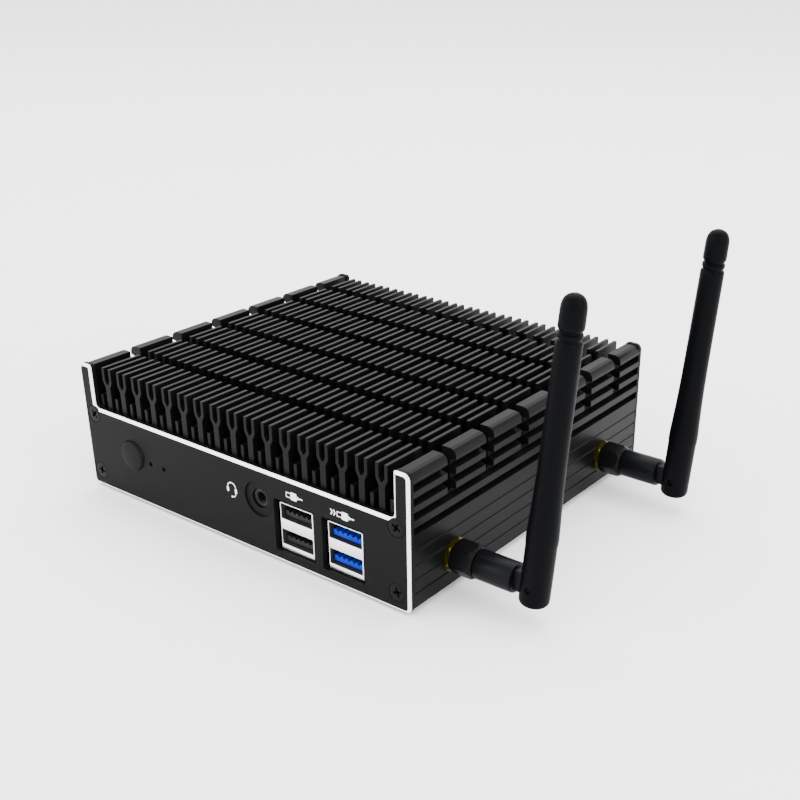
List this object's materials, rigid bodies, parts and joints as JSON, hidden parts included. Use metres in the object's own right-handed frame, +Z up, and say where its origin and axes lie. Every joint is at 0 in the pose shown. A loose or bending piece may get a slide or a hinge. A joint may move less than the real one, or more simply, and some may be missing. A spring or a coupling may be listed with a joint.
{
  "type": "fanless mini pc",
  "caption": "Fanless mini PC: finned black aluminium case between notched end plates, with front ports, a power button and hinged antennas on one side.",
  "frame": {"origin": "on the table the feet stand on, under the middle of the whole with the antennas up", "axes": "+X to the right seen from the front, +Y from the front plate to the rear plate, +Z up"},
  "size_m": [0.1768, 0.128, 0.0953],
  "materials": {
    "black_anodised": "satin black anodised",
    "end_plate_black": "fine-grained matte black anodised, bright cut edges",
    "black_steel": "black oxide",
    "foot_rubber": "matte",
    "antenna_plastic": "fine matte",
    "black_plastic": "moulded",
    "blue_plastic": "moulded",
    "nickel": "nickel plated, brushed",
    "gold_plate": "gold plated",
    "circuit_board": "solder mask",
    "copper": "milled copper",
    "light_pipe": "clear"
  },
  "bodies": {
    "case": {"housing": "black_anodised", "bottom_cover": "black_anodised", "front_plate": "end_plate_black", "rear_plate": "end_plate_black", "front_screw_1": "black_steel", "front_screw_2": "black_steel", "front_screw_3": "black_steel", "front_screw_4": "black_steel", "rear_screw_1": "black_steel", "rear_screw_2": "black_steel", "rear_screw_3": "black_steel", "rear_screw_4": "black_steel", "cover_screw_1": "black_steel", "cover_screw_2": "black_steel", "cover_screw_3": "black_steel", "cover_screw_4": "black_steel", "front_antenna_coupling_nut": "black_steel", "rear_antenna_coupling_nut": "black_steel", "foot_1": "foot_rubber", "foot_2": "foot_rubber", "foot_3": "foot_rubber", "foot_4": "foot_rubber", "headphone_jack": "black_plastic", "power_switch": "black_plastic", "usb2_insert": "black_plastic", "memory_socket": "black_plastic", "power_inlet": "black_plastic", "front_antenna_cable": "black_plastic", "rear_antenna_cable": "black_plastic", "processor": "black_plastic", "usb3_insert": "blue_plastic", "usb2_shell": "nickel", "usb3_shell": "nickel", "network_port": "nickel", "display_port": "nickel", "clock_battery": "nickel", "front_antenna_jack": "gold_plate", "rear_antenna_jack": "gold_plate", "front_antenna_jack_nut": "gold_plate", "rear_antenna_jack_nut": "gold_plate", "standoff_1": "gold_plate", "standoff_2": "gold_plate", "standoff_3": "gold_plate", "standoff_4": "gold_plate", "mainboard": "circuit_board", "memory_module": "circuit_board", "solid_state_drive": "circuit_board", "wifi_card": "circuit_board", "heat_spreader": "copper", "light_pipe_1": "light_pipe", "light_pipe_2": "light_pipe"},
    "button": {"power_button": "end_plate_black"},
    "front_barrel": {"front_antenna_barrel": "antenna_plastic"},
    "front_whip": {"front_antenna_whip": "antenna_plastic", "front_antenna_hinge_pin": "black_steel", "front_antenna_radiator": "gold_plate"},
    "rear_barrel": {"rear_antenna_barrel": "antenna_plastic"},
    "rear_whip": {"rear_antenna_whip": "antenna_plastic", "rear_antenna_hinge_pin": "black_steel", "rear_antenna_radiator": "gold_plate"}
  },
  "joints": [
    {"name": "button_press", "type": "slide", "parent": "case", "child": "button", "axis": [0, 1, 0], "range_m": [0, 0.0006], "stiffness_N_per_m": 1200, "springref_m": -0.0005},
    {"name": "front_antenna_swivel", "type": "hinge", "parent": "case", "child": "front_barrel", "pos_m": [0.06756, -0.043, 0.0115], "axis": [1, 0, 0], "range_deg": [-60, 90]},
    {"name": "front_antenna_elbow", "type": "hinge", "parent": "front_barrel", "child": "front_whip", "pos_m": [0.07766, -0.043, 0.0115], "axis": [0, 0.9995, -0.0314], "range_deg": [-4.4, 85.6]},
    {"name": "rear_antenna_swivel", "type": "hinge", "parent": "case", "child": "rear_barrel", "pos_m": [0.06756, 0.03995, 0.0115], "axis": [1, 0, 0], "range_deg": [-90, 60]},
    {"name": "rear_antenna_elbow", "type": "hinge", "parent": "rear_barrel", "child": "rear_whip", "pos_m": [0.07766, 0.03995, 0.0115], "axis": [0, 0.9994, 0.0358], "range_deg": [-5.23, 84.77]}
  ]
}
